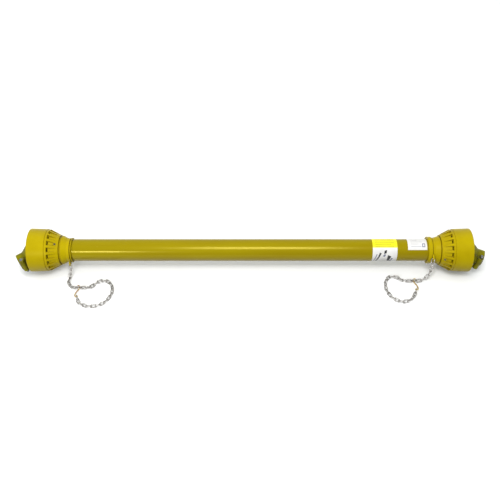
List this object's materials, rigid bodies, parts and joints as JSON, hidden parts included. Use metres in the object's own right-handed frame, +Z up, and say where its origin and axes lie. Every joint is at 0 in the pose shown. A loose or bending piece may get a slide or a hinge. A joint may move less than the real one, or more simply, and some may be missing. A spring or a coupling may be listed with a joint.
{
  "type": "universal joint shaft",
  "caption": "Telescoping drive shaft with a universal joint at each end, splined quick-release yokes, a plastic guard with fluted bells and safety chains.",
  "frame": {"origin": "on the shaft axis, half-way between the two cross centres", "axes": "+X along the shaft to the implement end, -Y to the front where the chains lie, +Z up"},
  "size_m": [1.4787, 0.2454, 0.1375],
  "materials": {
    "steel": "ground steel",
    "yoke_paint": "dark yellow painted forging",
    "zinc": "bright zinc plate",
    "hook_zinc": "yellow zinc plate",
    "yellow_plastic": "moulded guard plastic",
    "nylon": "natural nylon",
    "black_rubber": "moulded seal",
    "spring_steel": "oiled spring steel",
    "brass": "turned brass",
    "sticker": "printed film"
  },
  "bodies": {
    "tractor_shaft": {"tractor_inner_yoke": "yoke_paint", "tractor_roll_pin": "spring_steel", "tractor_inner_bearing_caps": "steel", "tractor_inner_circlips": "spring_steel", "tractor_inner_needles": "steel", "inner_profile_tube": "steel"},
    "tractor_guard": {"tractor_cup": "yellow_plastic", "tractor_base_cone": "yellow_plastic", "tractor_cone_screws": "zinc", "tractor_collar": "yellow_plastic", "tractor_bearing_ring": "nylon", "inner_guard_tube": "yellow_plastic"},
    "tractor_spider": {"tractor_cross": "steel", "tractor_grease_nipple": "brass", "tractor_cross_seals": "black_rubber"},
    "tractor_yoke": {"tractor_outer_yoke": "yoke_paint", "tractor_outer_bearing_caps": "steel", "tractor_outer_circlips": "spring_steel", "tractor_outer_needles": "steel", "tractor_lock_pin_plug": "steel", "tractor_lock_pin_spring": "spring_steel"},
    "tractor_pin": {"tractor_lock_pin": "steel"},
    "tractor_lead": {"tractor_chain_lead": "zinc"},
    "tractor_loop": {"tractor_chain_loop": "zinc", "tractor_chain_hook": "hook_zinc"},
    "implement_shaft": {"implement_inner_yoke": "yoke_paint", "implement_roll_pin": "spring_steel", "implement_inner_bearing_caps": "steel", "implement_inner_circlips": "spring_steel", "implement_inner_needles": "steel", "outer_profile_tube": "steel"},
    "implement_guard": {"implement_cup": "yellow_plastic", "implement_base_cone": "yellow_plastic", "implement_cone_screws": "zinc", "implement_collar": "yellow_plastic", "implement_bearing_ring": "nylon", "outer_guard_tube": "yellow_plastic", "guard_label": "sticker", "data_label": "sticker"},
    "implement_spider": {"implement_cross": "steel", "implement_grease_nipple": "brass", "implement_cross_seals": "black_rubber"},
    "implement_yoke": {"implement_outer_yoke": "yoke_paint", "implement_outer_bearing_caps": "steel", "implement_outer_circlips": "spring_steel", "implement_outer_needles": "steel", "implement_lock_pin_plug": "steel", "implement_lock_pin_spring": "spring_steel"},
    "implement_pin": {"implement_lock_pin": "steel"},
    "implement_lead": {"implement_chain_lead": "zinc"},
    "implement_loop": {"implement_chain_loop": "zinc", "implement_chain_hook": "hook_zinc"}
  },
  "joints": [
    {"name": "telescope", "type": "slide", "parent": "tractor_shaft", "child": "implement_shaft", "axis": [1, 0, 0], "range_m": [0, 0.6]},
    {"name": "tractor_guard_spin", "type": "hinge", "parent": "tractor_shaft", "child": "tractor_guard", "pos_m": [-0.655, 0, 0], "axis": [1, 0, 0], "continuous": true},
    {"name": "tractor_cross_swing", "type": "hinge", "parent": "tractor_shaft", "child": "tractor_spider", "pos_m": [-0.655, 0, 0], "axis": [0, 1, 0], "range_deg": [-2, 22]},
    {"name": "tractor_yoke_swing", "type": "hinge", "parent": "tractor_spider", "child": "tractor_yoke", "pos_m": [-0.655, 0, 0], "axis": [-0.1736, 0, 0.9848], "range_deg": [-61, 1]},
    {"name": "tractor_pin_push", "type": "slide", "parent": "tractor_yoke", "child": "tractor_pin", "axis": [-0.1736, 0, 0.9848], "range_m": [0, 0.007], "stiffness_N_per_m": 800, "springref_m": -0.002, "deforming": ["tractor_lock_pin_spring"]},
    {"name": "tractor_chain_swing", "type": "hinge", "parent": "tractor_guard", "child": "tractor_lead", "pos_m": [-0.571, -0.02925, -0.03485], "axis": [1, 0, 0], "range_deg": [-60, 35]},
    {"name": "tractor_loop_swing", "type": "hinge", "parent": "tractor_lead", "child": "tractor_loop", "pos_m": [-0.5303, -0.101, -0.0627], "axis": [0, 0, 1], "range_deg": [-12, 4]},
    {"name": "implement_guard_spin", "type": "hinge", "parent": "implement_shaft", "child": "implement_guard", "pos_m": [0.655, 0, 0], "axis": [1, 0, 0], "continuous": true},
    {"name": "implement_cross_swing", "type": "hinge", "parent": "implement_shaft", "child": "implement_spider", "pos_m": [0.655, 0, 0], "axis": [0, 1, 0], "range_deg": [-22, 2]},
    {"name": "implement_yoke_swing", "type": "hinge", "parent": "implement_spider", "child": "implement_yoke", "pos_m": [0.655, 0, 0], "axis": [0.1736, 0, 0.9848], "range_deg": [-12, 44]},
    {"name": "implement_pin_push", "type": "slide", "parent": "implement_yoke", "child": "implement_pin", "axis": [-0.1736, 0, -0.9848], "range_m": [0, 0.007], "stiffness_N_per_m": 800, "springref_m": -0.002, "deforming": ["implement_lock_pin_spring"]},
    {"name": "implement_chain_swing", "type": "hinge", "parent": "implement_guard", "child": "implement_lead", "pos_m": [0.571, -0.04395, 0.01178], "axis": [1, 0, 0], "range_deg": [-60, 8]},
    {"name": "implement_loop_swing", "type": "hinge", "parent": "implement_lead", "child": "implement_loop", "pos_m": [0.5123, -0.074, -0.0627], "axis": [0, 0, 1], "range_deg": [-8, 12]}
  ]
}
